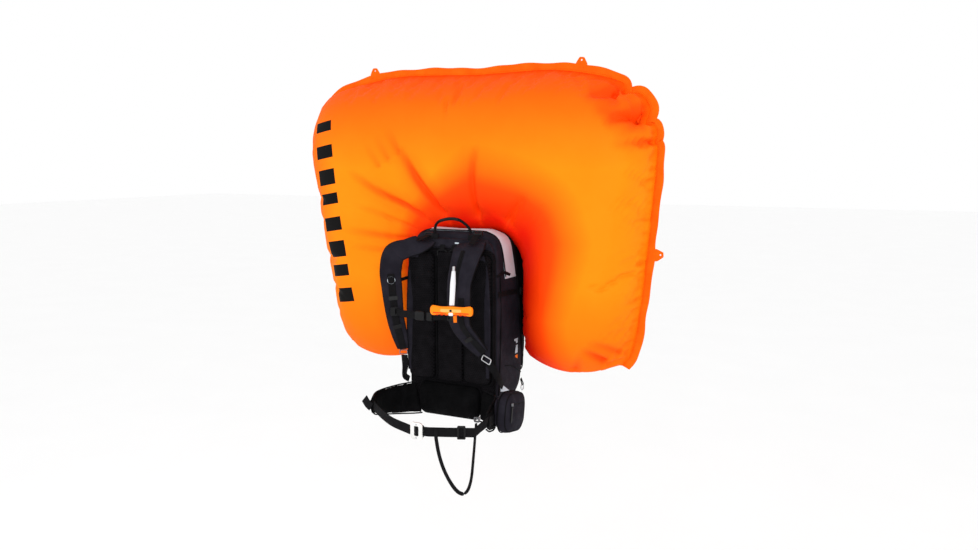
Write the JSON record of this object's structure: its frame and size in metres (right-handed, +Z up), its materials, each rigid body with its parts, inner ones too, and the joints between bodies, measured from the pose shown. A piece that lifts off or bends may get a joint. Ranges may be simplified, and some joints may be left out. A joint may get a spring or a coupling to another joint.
{
  "type": "avalanche airbag backpack",
  "caption": "Ski backpack with harness, hip belt, pull handle and a deployed horseshoe airbag behind and above the pack.",
  "frame": {"origin": "middle of the lumbar pad's face, which rests on the wearer's back", "axes": "+X to the right seen from the harness side, -Y towards the wearer, +Z up"},
  "size_m": [1.1529, 0.6081, 1.1397],
  "materials": {
    "shell_fabric": "charcoal ripstop nylon",
    "black_fabric": "black nylon and padded fabric",
    "mesh_fabric": "black spacer mesh",
    "webbing": "black woven webbing",
    "light_fabric": "light grey nylon",
    "airbag_fabric": "orange coated nylon",
    "orange_plastic": "orange moulded plastic",
    "orange_web": "orange webbing",
    "white_sleeve": "white coated sleeve",
    "black_plastic": "black acetal",
    "steel": "satin steel",
    "alloy": "satin anodised aluminium",
    "cartridge": "painted gas bottle",
    "cable": "yellow cable housing"
  },
  "bodies": {
    "pack": {"pack_shell": "shell_fabric", "yoke": "shell_fabric", "shoulder_strap_left": "shell_fabric", "shoulder_strap_right": "shell_fabric", "airbag_compartment": "black_fabric", "back_panel": "black_fabric", "back_pad_left": "black_fabric", "back_pad_right": "black_fabric", "lumbar_pad": "black_fabric", "spine_mesh": "mesh_fabric", "load_lifter_left": "webbing", "load_lifter_right": "webbing", "strap_webbing_left": "webbing", "strap_webbing_right": "webbing", "ring_tab": "webbing", "light_band": "light_fabric", "airbag": "airbag_fabric", "airbag_tab_left": "airbag_fabric", "airbag_tab_right": "airbag_fabric", "airbag_tab_side": "airbag_fabric", "load_lifter_buckle_left": "black_plastic", "load_lifter_buckle_right": "black_plastic", "side_buckle_left": "black_plastic", "side_buckle_right": "black_plastic", "frame_sheet": "black_plastic", "inflator_body": "black_plastic", "airbag_collar": "black_plastic", "strap_ring_left": "steel", "strap_ring_right": "steel", "frame_stay": "alloy", "gas_cartridge": "cartridge", "trigger_cable": "cable"},
    "trigger": {"trigger_handle": "orange_plastic", "handle_tab": "orange_web", "trigger_sleeve": "white_sleeve", "sleeve_ferrule": "steel"},
    "firing_lever": {"inflator_lever": "cable"},
    "front_panel": {"front_panel": "shell_fabric"},
    "haul_loop": {"haul_loop": "webbing"},
    "sternum_strap": {"sternum_slider_left": "black_plastic", "sternum_slider_right": "black_plastic", "sternum_webbing_left": "webbing", "sternum_webbing_right": "webbing", "sternum_buckle_female": "black_plastic", "sternum_buckle_male": "black_plastic"},
    "belt_left": {"hip_wing_left": "black_fabric", "hip_webbing_left": "webbing", "hip_tail": "webbing", "buckle_frame": "alloy"},
    "belt_right": {"hip_wing_right": "black_fabric", "hip_webbing_right": "webbing", "buckle_hook": "black_plastic", "hip_pocket": "shell_fabric", "leg_loop": "webbing", "leg_loop_clip": "steel"},
    "belt_keeper": {"hip_keeper": "black_plastic"},
    "zip_slider": {"pocket_slider": "black_plastic"},
    "zip_pull": {"pocket_pull": "black_plastic"},
    "ski_ring": {"ski_ring": "steel"}
  },
  "joints": [
    {"name": "trigger_pull", "type": "slide", "parent": "pack", "child": "trigger", "axis": [0.115, -0.3274, -0.9379], "range_m": [0, 0.05]},
    {"name": "firing_lever_turn", "type": "hinge", "parent": "pack", "child": "firing_lever", "pos_m": [0, 0.108, 0.377], "axis": [1, 0, 0], "range_deg": [0, 20]},
    {"name": "front_panel_open", "type": "hinge", "parent": "pack", "child": "front_panel", "pos_m": [0, 0.218, 0.0335], "axis": [-1, 0, 0], "range_deg": [0, 105]},
    {"name": "haul_loop_flop", "type": "hinge", "parent": "pack", "child": "haul_loop", "pos_m": [0, 0.024, 0.481], "axis": [1, 0, 0], "range_deg": [-30, 40]},
    {"name": "sternum_height", "type": "slide", "parent": "pack", "child": "sternum_strap", "axis": [0, 0, 1], "range_m": [-0.02, 0.02]},
    {"name": "hip_wing_left_swing", "type": "hinge", "parent": "pack", "child": "belt_left", "pos_m": [-0.132, 0.002, -0.041], "axis": [0, 0, -1], "range_deg": [0, 45]},
    {"name": "hip_wing_right_swing", "type": "hinge", "parent": "pack", "child": "belt_right", "pos_m": [0.134, 0.002, -0.041], "axis": [0, 0, 1], "range_deg": [0, 14]},
    {"name": "belt_keeper_slide", "type": "slide", "parent": "belt_right", "child": "belt_keeper", "axis": [0.9121, 0.4099, 0], "range_m": [-0.014, 0.014]},
    {"name": "pocket_zip_slide", "type": "slide", "parent": "belt_right", "child": "zip_slider", "axis": [0, 0.9856, -0.1692], "range_m": [0, 0.082]},
    {"name": "zip_pull_swing", "type": "hinge", "parent": "zip_slider", "child": "zip_pull", "pos_m": [0.2379, -0.06835, 0.03085], "axis": [0, -0.9856, 0.1692], "range_deg": [0, 100]},
    {"name": "ski_ring_swing", "type": "hinge", "parent": "pack", "child": "ski_ring", "pos_m": [0.155, 0.18, 0.0256], "axis": [0, 1, 0], "range_deg": [-60, 25]}
  ],
  "couplings": [
    {"joint": "firing_lever_turn", "follows": "trigger_pull", "rad_per_m": 6.9813},
    {"joint": "hip_wing_right_swing", "follows": "hip_wing_left_swing", "ratio": 0.3}
  ]
}
